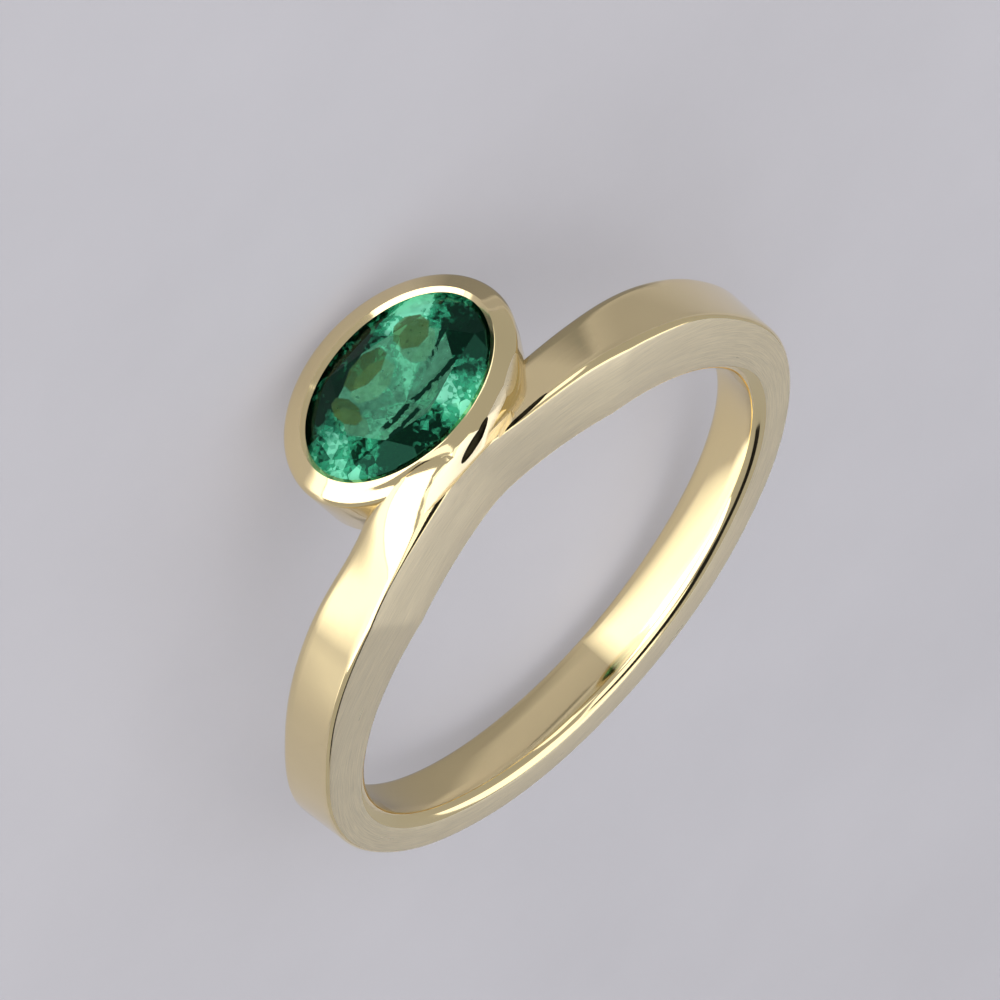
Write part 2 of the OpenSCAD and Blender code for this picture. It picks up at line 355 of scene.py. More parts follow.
def finish_shading(mesh):
    """Smooth faces, with every edge that turns more than a limit in degrees kept crisp."""
    bm = bmesh.new()
    bm.from_mesh(mesh)
    bmesh.ops.remove_doubles(bm, verts=bm.verts, dist=MERGE_DISTANCE)
    for f in bm.faces:
        f.smooth = True
    for e in bm.edges:
        e.smooth = e.is_manifold and e.calc_face_angle(0) < math.radians(CRISP_OVER)
    bm.to_mesh(mesh)
    bm.free()


def place_piece(o, node):
    """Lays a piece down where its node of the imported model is, and lets it stand for that node."""
    o.data.transform(laid_down())
    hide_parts(node)
    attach(o, "root")


# The near rim's trim: the share of the half length over which it fades in, its share beside the right
# arm, and the height over which it leans in below the shoulder.
TRIM_SPREAD, RIGHT_TRIM, WALL_TRIM = 0.4, 0.6, 0.5 * MM

# How far the wall leans in up to its shoulder, and how much more the lip takes off the width than off
# the length.
WALL_LEAN, WIDTH_SHARE = 0.02 * MM, 1.1
SHOULDER_ROUND, CREST_ROUND = 0.20 * MM, 0.07 * MM


def lip_rows(s):
    """Outer wall and burnished lip of the setting, lowest first, with how far each row is filed in."""
    foot = (s.taper, s.underside)
    shoulder, crest = (0, s.shoulder), (s.lip_width, s.shoulder + s.lip_rise)
    slope = (Vector(crest) - Vector(shoulder)).normalized()
    lower = (WALL_LEAN, s.shoulder - SHOULDER_ROUND)
    upper = Vector(shoulder) + slope * SHOULDER_ROUND
    before = Vector(crest) - slope * CREST_ROUND
    after = (crest[0] + CREST_ROUND, crest[1])
    profile = [foot, *straight(foot, lower, 4), *corner(lower, shoulder, upper, 7),
               *straight(upper, before, 5), *corner(before, crest, after, 5)]
    return [(s.half_length - inset, s.half_width - WIDTH_SHARE * inset, z,
             s.near_trim * ease(1 - (lower[1] - z) / WALL_TRIM)
             * (1 - ease((inset - upper[0]) / (crest[0] - upper[0])))) for inset, z in profile]


# The stone's play in its seat, the seat's ledge below the girdle, the lip's thin edge above it and that
# edge's own thickness.
SEAT_GAP, LEDGE_DROP, LIP_THIN, LIP_EDGE = 0.03 * MM, 0.62 * MM, 0.21 * MM, 0.03 * MM


def seat_rows(s, stone):
    """Hollow for the stone, lowest first: open back, ledge, girdle groove, lip's underside and bevel."""
    a, b = stone.half_length + SEAT_GAP, stone.half_width + SEAT_GAP
    top = stone.girdle_height + stone.girdle + SEAT_GAP
    crest = s.half_length - s.lip_width, s.half_width - WIDTH_SHARE * s.lip_width
    mouth = crest[0] - s.bevel, crest[1] - s.bevel
    rim_z = s.shoulder + s.lip_rise
    above = rim_z + 1 * MM
    return [(a - s.back_wall, b - s.back_wall, s.underside - 1 * MM),
            (a - s.back_wall, b - s.back_wall, stone.girdle_height - LEDGE_DROP),
            (a, b, stone.girdle_height - SEAT_GAP),
            (a, b, top),
            (*mouth, top + LIP_THIN),
            (*mouth, top + LIP_THIN + LIP_EDGE),
            (crest[0] + CREST_ROUND / 2, crest[1] + CREST_ROUND / 2, rim_z),
            (crest[0] + CREST_ROUND / 2, crest[1] + CREST_ROUND / 2, above)]


# Where the first flat starts above the hole's axis, and the size of the block that files each.
FLAT_HEIGHT, FLAT_BLOCK = 12.2 * MM, 6 * MM

# Flats beside the right arm: foot, upright in millimetres, and lean, turn and fall in degrees.
SIDE_FLATS = (((2.18, -0.06, 11.75), (18, 17, 16)), ((2.45, 0.19, 11.70), (12, 27, 12)))


def filed_flat(foot, lean, turn=0.0, fall=0.0):
    """Block that files a flat on the setting's near side, rising from a foot that may fall to the right."""
    bm = bmesh.new()
    bmesh.ops.create_cube(bm, size=FLAT_BLOCK)
    bmesh.ops.translate(bm, verts=bm.verts, vec=(0, -FLAT_BLOCK / 2, FLAT_BLOCK / 2))
    for angle, axis in ((fall, "Y"), (-lean, "X"), (turn, "Z")):
        bmesh.ops.rotate(bm, verts=bm.verts, cent=(0, 0, 0), matrix=Matrix.Rotation(angle, 3, axis))
    bmesh.ops.translate(bm, verts=bm.verts, vec=foot)
    for f in bm.faces:
        f.material_index = FILED
    return bm


# Unfilled nicks: both ends, upright in millimetres, and the radius halfway.
NICKS = (((-0.5, -0.41, 12.44), (1.04, -0.11, 12.72), 0.155),
         ((1.05, -0.53, 12.08), (2.95, -0.5, 11.6), 0.08))


def nick(start, end, radius):
    """A slim spindle that cuts a nick left between arm and lip."""
    bm = bmesh.new()
    start, end = Vector(start) * MM, Vector(end) * MM
    along = end - start
    bmesh.ops.create_uvsphere(bm, u_segments=16, v_segments=24, radius=1)
    bmesh.ops.scale(bm, verts=bm.verts, vec=(radius * MM, radius * MM, along.length / 2))
    bmesh.ops.rotate(bm, verts=bm.verts, cent=(0, 0, 0), matrix=along.to_track_quat("Z", "Y").to_matrix())
    bmesh.ops.translate(bm, verts=bm.verts, vec=(start + end) / 2)
    # The nick's faces take the painted-shade finish.
    for f in bm.faces:
        f.material_index = SHADED_NICK
    return bm


# How far out the star's and the lower facets' corners are, as shares of the girdle, and the angle in
# degrees under which neighbouring faces of the hull are one facet.
STAR_REACH, LOWER_REACH, ONE_FACET = 0.8, 0.34, 0.4


def stone_mesh(stone, centre_y, mains=8):
    """An oval brilliant: the hull of its table, star, girdle, lower and point corners."""
    bm = bmesh.new()
    chord = math.cos(math.pi / mains)

    def facet_corner(reach, k, z):
        t = math.pi * k / mains
        bm.verts.new((reach * stone.half_length * math.cos(t),
                      centre_y + reach * stone.half_width * math.sin(t), stone.girdle_height + z))

    for k in range(2 * mains):
        facet_corner(1, k, 0)
        facet_corner(1, k, stone.girdle)
        if k % 2:
            rise = (1 - STAR_REACH * chord) / (1 - stone.table_share)
            facet_corner(STAR_REACH, k, stone.girdle + stone.crown * rise)
            facet_corner(LOWER_REACH, k, -stone.pavilion * (1 - LOWER_REACH * chord))
        else:
            facet_corner(stone.table_share, k, stone.girdle + stone.crown)
    facet_corner(0, 0, -stone.pavilion)
    hull = bmesh.ops.convex_hull(bm, input=bm.verts)
    bmesh.ops.delete(bm, geom=[v for v in hull["geom_interior"] if v.is_valid], context="VERTS")
    bmesh.ops.dissolve_limit(bm, angle_limit=math.radians(ONE_FACET), verts=bm.verts, edges=bm.edges)
    bmesh.ops.recalc_face_normals(bm, faces=bm.faces)
    return bm


class NodeSheet:
    """A material's nodes, added and linked by short calls."""

    def __init__(self, name):
        self.material = bpy.data.materials.new(name)
        self.material.use_nodes = True
        self.tree = self.material.node_tree
        self.tree.nodes.clear()
        self.out = self.add("ShaderNodeOutputMaterial")
        self.shader = self.add("ShaderNodeBsdfPrincipled")
        self.link(self.shader, "BSDF", self.out, "Surface")
        self.where = self.add("ShaderNodeTexCoord")

    def add(self, kind, **settings):
        """Adds a node with its settings."""
        node = self.tree.nodes.new(kind)
        for key, value in settings.items():
            setattr(node, key, value)
        return node

    def link(self, a, out, b, into):
        """Joins an output of one node to an input of another."""
        self.tree.links.new(a.outputs[out], b.inputs[into])

    def math(self, operation, a, b=None):
        """Reckons with one or two values, each a number or a node's output."""
        node = self.add("ShaderNodeMath", operation=operation)
        for i, value in enumerate((a, b)):
            if isinstance(value, tuple):
                self.link(value[0], value[1], node, i)
            elif value is not None:
                node.inputs[i].default_value = value
        return node, 0

    def noise(self, scale, vector, detail=3.0, roughness=0.5):
        """Soft noise between 0 and 1, mostly near its middle."""
        node = self.add("ShaderNodeTexNoise")
        node.inputs["Scale"].default_value = scale
        node.inputs["Detail"].default_value = detail
        node.inputs["Roughness"].default_value = roughness
        self.link(vector[0], vector[1], node, "Vector")
        return node, "Fac"

    def cells(self, scale, vector):
        """Straight-edged cells, each with its own random value."""
        node = self.add("ShaderNodeTexVoronoi")
        node.inputs["Scale"].default_value = scale
        self.link(vector[0], vector[1], node, "Vector")
        parts = self.add("ShaderNodeSeparateColor")
        self.link(node, "Color", parts, "Color")
        return parts, "Red"

    def ranged(self, value, low, high, start=0.0, end=1.0):
        """Goes from low to high as a value goes from start to end."""
        node = self.add("ShaderNodeMapRange")
        self.link(value[0], value[1], node, "Value")
        node.inputs["From Min"].default_value, node.inputs["From Max"].default_value = start, end
        node.inputs["To Min"].default_value, node.inputs["To Max"].default_value = low, high
        return node, "Result"

    def blend(self, share, low, high):
        """Goes from one colour to another, each a plain colour or another node's."""
        node = self.add("ShaderNodeMix", data_type="RGBA")
        self.link(share[0], share[1], node, 0)
        for socket, value in ((node.inputs[6], low), (node.inputs[7], high)):
            if isinstance(value[0], bpy.types.Node):
                self.tree.links.new(value[0].outputs[value[1]], socket)
            else:
                socket.default_value = (*value, 1)
        return node, 2

    def tint(self, value, low, high, start=0.3, end=0.7):
        """Goes from one plain colour to another as a value goes from start to end."""
        node = self.add("ShaderNodeValToRGB")
        node.color_ramp.elements[0].position, node.color_ramp.elements[0].color = start, (*low, 1)
        node.color_ramp.elements[1].position, node.color_ramp.elements[1].color = end, (*high, 1)
        self.link(value[0], value[1], node, "Fac")
        return node, "Color"

    def bump(self, value, distance, strength=1.0, under=None):
        """Relief as high as a value says, over another relief if there is one."""
        node = self.add("ShaderNodeBump")
        node.inputs["Strength"].default_value = strength
        node.inputs["Distance"].default_value = distance
        self.link(value[0], value[1], node, "Height")
        if under:
            self.link(under[0], under[1], node, "Normal")
        return node, "Normal"

    def set(self, **values):
        """Sets the shader's sockets, each to a constant or a node's output."""
        for key, value in values.items():
            socket = self.shader.inputs[key.replace("_", " ")]
            if isinstance(value, tuple) and isinstance(value[0], bpy.types.Node):
                self.link(value[0], value[1], self.shader, socket.name)
            else:
                socket.default_value = value

    def upright(self):
        """Coordinates of the upright ring, axis along Y and setting at +Z, together and one by one."""
        node = self.add("ShaderNodeMapping", vector_type="POINT")
        back = laid_down().inverted()
        node.inputs["Location"].default_value = back.to_translation()
        node.inputs["Rotation"].default_value = back.to_euler("XYZ")
        self.link(self.where, "Object", node, "Vector")
        parts = self.add("ShaderNodeSeparateXYZ")
        self.link(node, "Vector", parts, "Vector")
        return (node, "Vector"), [(parts, axis) for axis in "XYZ"]

    def along_band(self):
        """Radius, angle and place across, in millimetres and radians, for lines that follow the arms."""
        x, y, z = self.upright()[1]
        squares = self.math("ADD", self.math("MULTIPLY", x, x), self.math("MULTIPLY", z, z))
        joined = self.add("ShaderNodeCombineXYZ")
        self.link(*self.math("DIVIDE", self.math("SQRT", squares), MM), joined, "X")
        self.link(*self.math("ARCTAN2", x, z), joined, "Y")
        self.link(*self.math("DIVIDE", y, MM), joined, "Z")
        return joined, "Vector"

    def stretched(self, vector, scale):
        """Coordinates scaled along each axis, for lines or long patches."""
        node = self.add("ShaderNodeMapping")
        node.inputs["Scale"].default_value = scale
        self.link(vector[0], vector[1], node, "Vector")
        return node, "Vector"


def shade(colour_value, amount):
    """A colour made darker or lighter."""
    return tuple(c * amount for c in colour_value)


def polished_gold(gold):
    """Mirror gold with the faint ripple of hand polishing and fine wheel lines."""
    sheet = NodeSheet("polished gold")
    spot = (sheet.where, "Object")
    hand = sheet.noise(260, spot, 4)
    fine = sheet.noise(1, sheet.stretched(sheet.along_band(), (14, 2.2, 5)), 3)
    sheet.set(Base_Color=sheet.tint(hand, shade(gold, 0.95), shade(gold, 1.04)), Metallic=1.0,
              Roughness=sheet.ranged(fine, 0.05, 0.12),
              Normal=sheet.bump(fine, 0.002 * MM, 0.35, sheet.bump(hand, 0.03 * MM, 0.12)))
    return sheet.material


def satin_gold(gold):
    """Gold rubbed to fine lines that run round the ring, with broader and finer ones mixed."""
    sheet = NodeSheet("satin gold")
    band = sheet.along_band()
    lines = sheet.noise(1, sheet.stretched(band, (26, 3, 2)), 4, 0.6)
    broad = sheet.noise(1, sheet.stretched(band, (5, 3, 1)), 2)
    fine = sheet.noise(1, sheet.stretched(band, (70, 9, 6)), 3, 0.6)
    sheet.set(Base_Color=sheet.tint(fine, shade(gold, 0.82), shade(gold, 1.14)), Metallic=1.0,
              Roughness=sheet.ranged(broad, 0.25, 0.34),
              Normal=sheet.bump(fine, 0.006 * MM, 0.5, sheet.bump(lines, 0.012 * MM, 0.5)))
    return sheet.material


def inner_gold(gold):
    """Polished gold of the finger hole, with the soft wear of a finger."""
    sheet = NodeSheet("inner gold")
    spot = (sheet.where, "Object")
    hand = sheet.noise(180, spot, 3)
    wear = sheet.noise(1, sheet.stretched(sheet.along_band(), (1, 3, 16)), 3)
    sheet.set(Base_Color=sheet.tint(hand, shade(gold, 0.95), shade(gold, 1.03)), Metallic=1.0,
              Roughness=sheet.ranged(wear, 0.05, 0.11),
              Normal=sheet.bump(hand, 0.05 * MM, 0.15))
    return sheet.material


def nick_painted_shade(gold):
    """Unpolished gold darkened to near black: painted shade in the nick's crease."""
    sheet = NodeSheet("nick")
    # Mottle of the painted shade, nearly black throughout.
    shade_mottle = sheet.noise(3000, (sheet.where, "Object"), 3)
    sheet.set(Base_Color=sheet.tint(shade_mottle, shade(gold, 0.01), shade(gold, 0.06)),
              Metallic=1.0, Roughness=0.6)
    return sheet.material


def filed_gold_painted_bright(gold):
    """Gold with the fine marks of a smooth file, its tone lifted above the satin's as a painted highlight.
    """
    sheet = NodeSheet("filed gold painted bright")
    marks = sheet.noise(1, sheet.stretched(sheet.along_band(), (9, 2, 40)), 3)
    # The lift of 8 to 16 percent over the satin colour is painted highlight.
    sheet.set(Base_Color=sheet.tint(marks, shade(gold, 1.08), shade(gold, 1.16)), Metallic=1.0,
              Roughness=sheet.ranged(marks, 0.24, 0.36), Normal=sheet.bump(marks, 0.004 * MM, 0.4))
    return sheet.material


# Places on the stone are given in shares of its half length and half width from its middle, the second
# towards the far side; angles run from +X towards the far side. An olive zone is its middle and half
# sizes. A feather is its start and end along the stone, its level across it and its slope. A painted flash
# is its angle and how much painted highlight, or painted shade where negative, it puts on the facets there.
OLIVE_ZONES = ((0.41, 0.32, 0.16, 0.22), (-0.08, 0.42, 0.22, 0.16), (-0.45, 0.22, 0.09, 0.23))
FEATHERS = ((-0.40, 0.54, -0.34, -0.10), (-0.50, 0.0, -0.47, -0.10), (0.30, 0.66, -0.32, 0.55))
PAINTED_FLASHES = ((46, 0.30), (-68, 0.33), (180, 0.20), (-158, 0.16), (-122, -0.2), (-20, -0.22), (130, -0.24),
           (100, -0.1))
HEART_GREEN, OLIVE_GREEN = (0.125, 0.43, 0.26), (0.076, 0.142, 0.042)
# Colours of the painted facet shade and of the painted flashes.
PAINTED_SHADE_GREEN, PAINTED_FLASH_GREEN, FEATHER_GREEN = (0.0003, 0.004, 0.0015), (0.26, 0.80, 0.56), (0.0005, 0.006, 0.003)
TABLE_GLINT, GLASS_IOR = (0.12, 0.55, 0.35, 1), 1.58


def facet_greens(sheet, place, across, face, emerald):
    """Painted light and shade on the cut faces, with painted glints and painted flashes."""
    painted_glints = sheet.math("ADD", sheet.math("MULTIPLY", sheet.cells(3000, place), 0.32),
                        sheet.math("MULTIPLY", sheet.cells(8000, place), 0.22))
    # depth is painted light: each facet's own lightness by its facing, with the painted glints.
    depth = sheet.math("ADD", sheet.math("MULTIPLY", sheet.noise(7, face, 1), 0.8),
                       sheet.math("SUBTRACT", painted_glints, 0.26))
    u, v = across
    turn = sheet.math("ARCTAN2", v, u)
    # Each painted flash lightens the facets at its angle, and a negative one shades them.
    for angle, strength in PAINTED_FLASHES:
        near = sheet.math("COSINE", sheet.math("SUBTRACT", turn, math.radians(angle)))
        depth = sheet.math("ADD", depth, sheet.ranged(near, 0, strength, 0.93, 0.99))
    # From painted shade through the body colour up to the painted flash colour.
    shade_to_body = sheet.tint(depth, PAINTED_SHADE_GREEN, emerald, 0.39, 0.60)
    return sheet.blend(sheet.ranged(depth, 0, 1, 0.66, 0.78), shade_to_body, PAINTED_FLASH_GREEN)


def clouded_heart(sheet, place):
    """The pale green that shows through the table, with its streaks, grain and patches."""
    streaks = sheet.noise(1, sheet.stretched(place, (500, 1500, 500)), 4, 0.6)
    grain = sheet.noise(5000, place, 3, 0.6)
    patches = sheet.math("MULTIPLY", sheet.cells(1, sheet.stretched(place, (700, 1500, 1500))), 0.14)
    grain = sheet.math("ADD", sheet.math("MULTIPLY", grain, 0.45), patches)
    return sheet.tint(sheet.math("ADD", sheet.math("MULTIPLY", streaks, 0.35), grain),
                      shade(HEART_GREEN, 0.5), shade(HEART_GREEN, 1.4), 0.32, 0.62)


def olive_zone(sheet, across, zone):
    """A clear-edged share that is 1 inside an eight-sided zone."""
    p, q = (sheet.math("ABSOLUTE", sheet.math("DIVIDE", sheet.math("SUBTRACT", side, middle), half))
            for side, middle, half in zip(across, zone[:2], zone[2:]))
    square = sheet.math("MAXIMUM", p, q)
    diamond = sheet.math("MULTIPLY", sheet.math("ADD", p, q), 0.72)
    return sheet.ranged(sheet.math("MAXIMUM", square, diamond), 0.92, 0, 0.96, 1.04)


def dark_marks(sheet, place, across, garden):
    """Feathers, which are dark ragged cracks along the stone, and scattered specks."""
    u, v = across
    specks = sheet.ranged(sheet.noise(7000, place, 1), 0, 1, 0.70, 0.76)
    marks = sheet.math("MULTIPLY", specks, 0.7)
    breaks = sheet.noise(1, sheet.stretched(place, (2600, 4000, 4000)), 2)
    gaps = sheet.ranged(breaks, 0, 1, 0.36, 0.40)
    wave = sheet.math("MULTIPLY", sheet.math("SUBTRACT", garden, 0.5), 0.175)
    for start, end, level, slope in FEATHERS:
        line = sheet.math("ADD", sheet.math("MULTIPLY", u, slope), level)
        off = sheet.math("ABSOLUTE", sheet.math("ADD", sheet.math("SUBTRACT", v, line), wave))
        along = sheet.math("ABSOLUTE", sheet.math("SUBTRACT", u, (start + end) / 2))
        inside = sheet.ranged(along, 1, 0, (end - start) / 2 - 0.05, (end - start) / 2)
        feather = sheet.math("MULTIPLY", sheet.ranged(off, 1, 0, 0.03, 0.042), inside)
        marks = sheet.math("MAXIMUM", marks, sheet.math("MULTIPLY", feather, gaps))
    return marks


def emerald_glass(emerald, stone, centre_y):
    """Green glass clouded under its table, with painted facet light and shade, olive zones and feathers."""
    sheet = NodeSheet("emerald")
    place, (x, y, _) = sheet.upright()
    across = (sheet.math("DIVIDE", x, stone.half_length),
              sheet.math("DIVIDE", sheet.math("SUBTRACT", y, centre_y), stone.half_width))
    garden = sheet.noise(1500, place, 5, 0.65)

    # The flat table is told from the facets by the way it faces.
    face = sheet.add("ShaderNodeNewGeometry"), "True Normal"
    lean = sheet.add("ShaderNodeVectorMath", operation="DOT_PRODUCT")
    sheet.link(*face, lean, 0)
    lean.inputs[1].default_value = laid_down().to_3x3() @ Vector((0, 0, 1))
    table = sheet.ranged((lean, "Value"), 0, 1, 0.990, 0.995)

    facets = facet_greens(sheet, place, across, face, emerald)
    body = sheet.blend(table, facets, clouded_heart(sheet, place))
    olive = sheet.tint(garden, shade(OLIVE_GREEN, 0.7), shade(OLIVE_GREEN, 1.25))
    for zone in OLIVE_ZONES:
        body = sheet.blend(olive_zone(sheet, across, zone), body, olive)
    marks = dark_marks(sheet, place, across, garden)
    body = sheet.blend(marks, body, FEATHER_GREEN)
    clear = sheet.math("SUBTRACT", sheet.ranged(table, 0.55, 0.70), sheet.math("MULTIPLY", marks, 0.5))
    sheet.set(Base_Color=body, Roughness=sheet.ranged(garden, 0.0, 0.015), IOR=GLASS_IOR,
              Transmission_Weight=clear, Specular_Tint=TABLE_GLINT)
    return sheet.material


def floor_finish(tone):
    """A matt, faintly clouded surface."""
    sheet = NodeSheet("pale floor")
    spot = (sheet.where, "Object")
    cloud = sheet.noise(60, spot, 6, 0.6)
    sheet.set(Base_Color=sheet.tint(cloud, shade(tone, 0.96), shade(tone, 1.03)),
              Roughness=sheet.ranged(cloud, 0.7, 0.85), Specular_IOR_Level=0.2)
    return sheet.material


class RING_OT_mount(bpy.types.Operator):
    """Builds the gold mount: band, bezel, seat and filed flat in one soldered piece"""
    bl_idname = "ring.mount"
    bl_label = "Gold mount"

    def execute(self, context):
        scene = context.scene
        band, s, stone = scene.ring_band, scene.ring_setting, scene.ring_stone
        gold, satin = tuple(scene.ring_finish.gold), tuple(scene.ring_finish.satin)
        finishes = [polished_gold(gold), satin_gold(satin), inner_gold(gold), nick_painted_shade(gold),
                    filed_gold_painted_bright(satin)]
        flat_foot = Vector((0, -band.width / 2 + band.notch_depth, FLAT_HEIGHT))
        mount = object_from(band_mesh(band), "gold_mount", finishes)
        for bm, name, operation in (
                (oval_stack(s.offset, lip_rows(s)), "bezel", "UNION"),
                (oval_stack(s.offset, seat_rows(s, stone)), "seat", "DIFFERENCE"),
                (filed_flat(flat_foot, s.flat_lean), "flat", "DIFFERENCE"),
                *((filed_flat(Vector(foot) * MM, *map(math.radians, angles)), "side flat", "DIFFERENCE")
                  for foot, angles in SIDE_FLATS),
                *((nick(*ends), "nick", "DIFFERENCE") for ends in NICKS)):
            combined(mount, object_from(bm, name, finishes), operation)
        finish_shading(mount.data)
        place_piece(mount, GOLD_NODE)
        return {"FINISHED"}


class RING_OT_emerald(bpy.types.Operator):
    """Builds the oval cut emerald"""
    bl_idname = "ring.emerald"
    bl_label = "Emerald"

    def execute(self, context):
        scene = context.scene
        sizes, middle = scene.ring_stone, scene.ring_setting.offset
        green = emerald_glass(tuple(scene.ring_finish.emerald), sizes, middle)
        stone = object_from(stone_mesh(sizes, middle), "cut_emerald", [green])
        place_piece(stone, STONE_NODE)
        return {"FINISHED"}


# The camera stands at the photograph's angle to the ring, turned about its own view as the photograph is.
VIEW_AZIMUTH, VIEW_ELEVATION, VIEW_ROLL = 7.83, 32.02, 128.35
VIEW_TARGET = Vector(HOLE["pos_m"]) + Vector((0.86, 1.47, -2.14)) * MM
VIEW_DISTANCE = 0.22
VIEW_LENS = 260.35


def facing(azimuth, elevation):
    """Direction from the ring at an azimuth from +Y towards -X and an elevation, in degrees."""
    a, e = math.radians(azimuth), math.radians(elevation)
    return Vector((-math.sin(a) * math.cos(e), math.cos(a) * math.cos(e), math.sin(e)))


STUDIO_RADIUS = 0.3
ROOM_TONE = (0.45, 0.45, 0.46, 1)
CARD_BLACK, FLAG_BLACK = (0.05, 0.05, 0.05, 1), (0.01, 0.01, 0.01)


def aim(o, azimuth, elevation):
    """Stands a card or lamp at a direction from the ring, facing it."""
    away = facing(azimuth, elevation)
    o.location = away * STUDIO_RADIUS
    o.rotation_mode = "QUATERNION"
    o.rotation_quaternion = away.to_track_quat("Z", "Y")


def across_view(degrees):
    """Width of a lamp or card that fills an angle as the ring sees it."""
    return 2 * STUDIO_RADIUS * math.tan(math.radians(degrees / 2))


def softbox(name, azimuth, elevation, wide, tall, brightness):
    """An even rectangular lamp that only gold and glass take up; all but its brightness is in degrees."""
    lamp = bpy.data.lights.new(name, "AREA")
    lamp.shape, lamp.size, lamp.size_y = "RECTANGLE", across_view(wide), across_view(tall)
    lamp.energy = brightness * lamp.size * lamp.size_y * math.pi
    o = bpy.data.objects.new(name, lamp)
    aim(o, azimuth, elevation)
    o.visible_diffuse = False
    bpy.context.scene.collection.objects.link(o)
    return o


def floor_fill(name, brightness, shadow):
    """Broad light from above that only the floor's and the stone's own colours take up."""
    fill = softbox(name, 20, 74, 120, 120, brightness)
    fill.visible_diffuse, fill.visible_glossy, fill.data.use_shadow = True, False, shadow
    fill.data.cycles.use_multiple_importance_sampling = False


def card_finish(name, size, soft, brightness):
    """A card whose front glows, or by a share below nothing darkens what is behind it, fading out at its
    edges."""
    sheet = NodeSheet(name)
    sheet.tree.nodes.remove(sheet.shader)
    parts = sheet.add("ShaderNodeSeparateXYZ")
    sheet.link(sheet.where, "Object", parts, "Vector")
    fades = []
    for axis, across, fading in zip("XY", size, soft):
        edge = sheet.math("SUBTRACT", across / 2, sheet.math("ABSOLUTE", (parts, axis)))
        fades.append(sheet.ranged(sheet.math("DIVIDE", edge, fading), 0, 1))
    back = sheet.add("ShaderNodeNewGeometry"), "Backfacing"
    fade = sheet.math("MULTIPLY", sheet.math("MULTIPLY", *fades), sheet.math("SUBTRACT", 1.0, back))
    clear = sheet.add("ShaderNodeBsdfTransparent")
    if brightness > 0:
        glow = sheet.add("ShaderNodeEmission")
        sheet.link(*sheet.math("MULTIPLY", fade, brightness), glow, "Strength")
        both = sheet.add("ShaderNodeAddShader")
        sheet.link(clear, "BSDF", both, 0)
        sheet.link(glow, "Emission", both, 1)
    else:
        dark = sheet.add("ShaderNodeBsdfDiffuse")
        dark.inputs["Color"].default_value = CARD_BLACK
        both = sheet.add("ShaderNodeMixShader")
        sheet.link(*sheet.math("MULTIPLY", fade, -brightness), both, "Fac")
        sheet.link(clear, "BSDF", both, 1)
        sheet.link(dark, "BSDF", both, 2)
    sheet.link(both, "Shader", sheet.out, "Surface")
    return sheet.material


def reflected_card(name, size, soft, brightness):
    """A card, in millimetres, that shows only in the gold's reflections."""
    size, soft = [v * MM for v in size], [v * MM for v in soft]
    bm = bmesh.new()
    bmesh.ops.create_grid(bm, x_segments=1, y_segments=1, size=0.5)
    bmesh.ops.scale(bm, verts=bm.verts, vec=(*size, 1))
    card = object_from(bm, name, [card_finish(name, size, soft, brightness)])
    card.visible_camera = card.visible_diffuse = card.visible_shadow = False
    return card


def floor_card(name, left, right, near, far, soft, brightness, height=0.02):
    """Lights or darkens a patch of the floor, in millimetres, as the gold sees it."""
    card = reflected_card(name, (right - left, far - near), (soft, soft), brightness)
    card.location = Vector(((left + right) / 2, (near + far) / 2, height)) * MM


def hole_card(start, end, tall, soft, brightness):
    """Stands a card in the finger hole that the hole's right wall reflects."""
    start, end, up = Vector((*start, 0)), Vector((*end, 0)), Vector((0, 0, 1))
    along = (end - start).normalized()
    card = reflected_card("hole_card", ((end - start).length, tall), soft, brightness)
    card.rotation_mode = "QUATERNION"
    card.rotation_quaternion = Matrix((along, up, along.cross(up))).transposed().to_quaternion()
    card.location = ((start + end) / 2 + up * tall / 2) * MM


def black_flag(name, azimuth, elevation, wide, tall):
    """A black card that keeps a patch of the reflections dark."""
    bm = bmesh.new()
    bmesh.ops.create_grid(bm, x_segments=1, y_segments=1, size=0.5)
    bmesh.ops.scale(bm, verts=bm.verts, vec=(across_view(wide), across_view(tall), 1))
    card = object_from(bm, name, [floor_finish(FLAG_BLACK)])
    aim(card, azimuth, elevation)


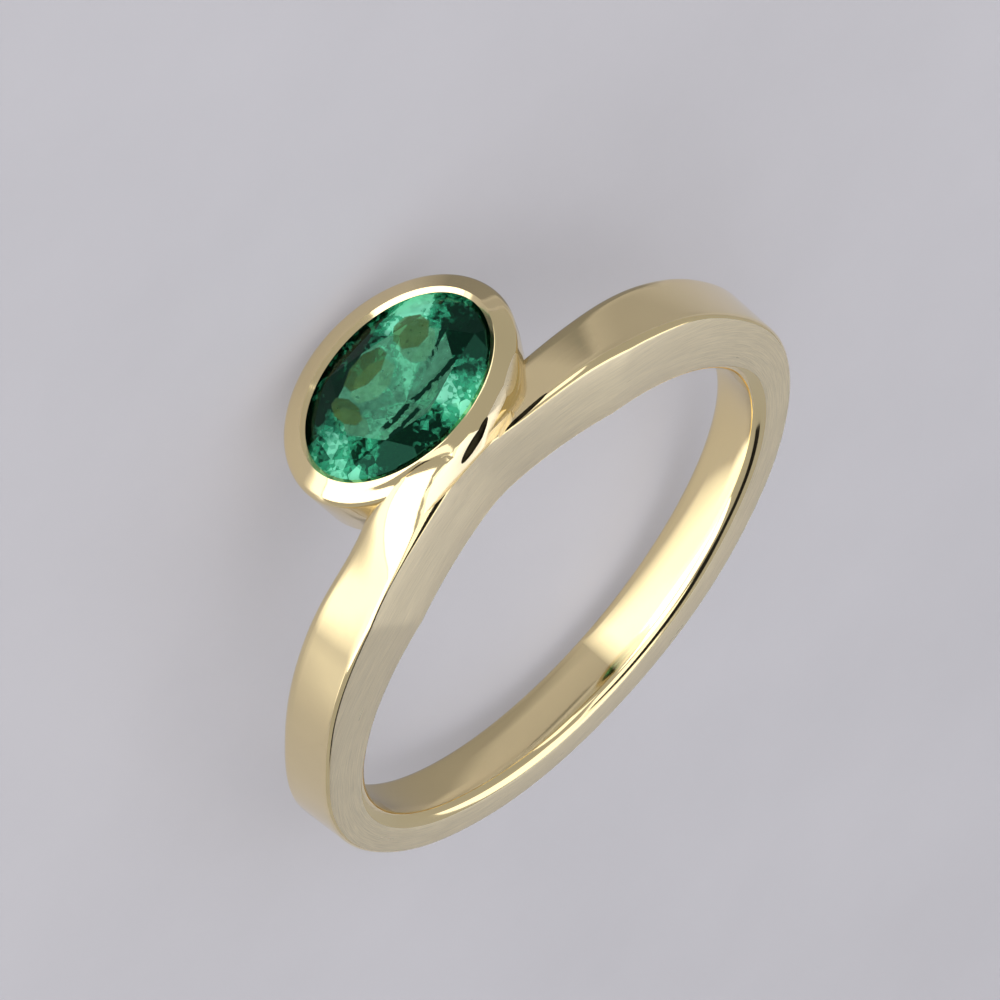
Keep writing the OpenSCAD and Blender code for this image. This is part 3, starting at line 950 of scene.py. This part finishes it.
class RING_OT_stage(bpy.types.Operator):
    """Sets the pale floor, the soft studio light and the camera"""
    bl_idname = "ring.stage"
    bl_label = "Studio"

    def execute(self, context):
        scene = context.scene
        bm = bmesh.new()
        bmesh.ops.create_grid(bm, x_segments=8, y_segments=8, size=0.6)
        floor = object_from(bm, "floor", [floor_finish(tuple(scene.ring_finish.floor))])

        # Soft boxes and flags: azimuth, elevation, width and height in degrees, and a box's brightness.
        # Floor cards: left, right, near, far and soft edge in millimetres, brightness, and height.
        softbox("key", 54, 32, 74, 78, 2.1)
        floor_fill("fill", 1.55, False)
        floor_fill("shadow_fill", 0.9, True)
        softbox("side", -42, 34, 24, 44, 1.2)
        softbox("strip", -160, 44, 26, 36, 1.3)
        softbox("overhead", 180, 84, 28, 40, 1.2)
        floor_card("key_glow", -120, -9, 9.5, 100, 5, 1.3)
        floor_card("far_glow", -120, -31, -6, 14, 6, 0.9, 0.03)
        floor_card("side_glow", -40, -15, -2, 13, 6, 0.3, 0.04)
        floor_card("setting_shade", 3, 16, 2, 16, 2, -0.6)
        floor_card("hole_shade", -9, 0.9, -10.5, -1, 1.6, -0.42, 0.03)
        floor_card("right_shade", 15, 60, -6, 30, 5, -0.24, 0.03)
        hole_card((0.2, -10.0), (3.1, -3.6), 3.2, (1.6, 0.9), 1.4)
        black_flag("zenith_flag", 178, 54, 24, 26)
        black_flag("crease_flag", 160, 44, 18, 44)
        world = bpy.data.worlds.new("studio")
        world.use_nodes = True
        world.node_tree.nodes["Background"].inputs["Color"].default_value = ROOM_TONE
        scene.world = world

        eye = bpy.data.cameras.new("camera")
        eye.lens, eye.sensor_width = VIEW_LENS, 36
        eye.clip_start, eye.clip_end = 0.01, 10
        camera = bpy.data.objects.new("camera", eye)
        back = facing(VIEW_AZIMUTH, VIEW_ELEVATION)
        level = Vector((0, 0, 1)).cross(back).normalized()
        turned = Matrix.Rotation(math.radians(VIEW_ROLL), 3, back)
        right = turned @ level
        up = back.cross(right)
        camera.matrix_world = (Matrix.Translation(VIEW_TARGET + back * VIEW_DISTANCE)
                               @ Matrix((right, up, back)).transposed().to_4x4())
        scene.collection.objects.link(camera)
        scene.camera = camera
        scene.view_settings.view_transform = "Standard"
        return {"FINISHED"}


class RING_PT_panel(bpy.types.Panel):
    """Lists the ring's pieces in the sidebar"""
    bl_label = "Emerald ring"
    bl_idname = "RING_PT_panel"
    bl_space_type = "VIEW_3D"
    bl_region_type = "UI"
    bl_category = "Ring"

    def draw(self, context):
        for operator in STEPS:
            self.layout.operator(operator.bl_idname)
        for group in GROUPS:
            box = self.layout.box()
            values = getattr(context.scene, group)
            for key in values.bl_rna.properties.keys():
                if key not in ("rna_type", "name"):
                    box.prop(values, key)


GROUPS = {"ring_band": BandSizes, "ring_setting": SettingSizes, "ring_stone": StoneSizes,
          "ring_finish": Finishes}
STEPS = (RING_OT_mount, RING_OT_emerald, RING_OT_stage)


def register():
    for c in (*GROUPS.values(), *STEPS, RING_PT_panel):
        bpy.utils.register_class(c)
    for name, group in GROUPS.items():
        setattr(bpy.types.Scene, name, bpy.props.PointerProperty(type=group))


def unregister():
    for name in GROUPS:
        delattr(bpy.types.Scene, name)
    for c in reversed((*GROUPS.values(), *STEPS, RING_PT_panel)):
        bpy.utils.unregister_class(c)


def main():
    register()
    bpy.ops.ring.mount()
    bpy.ops.ring.emerald()
    bpy.ops.ring.stage()


if __name__ == "__main__":
    main()
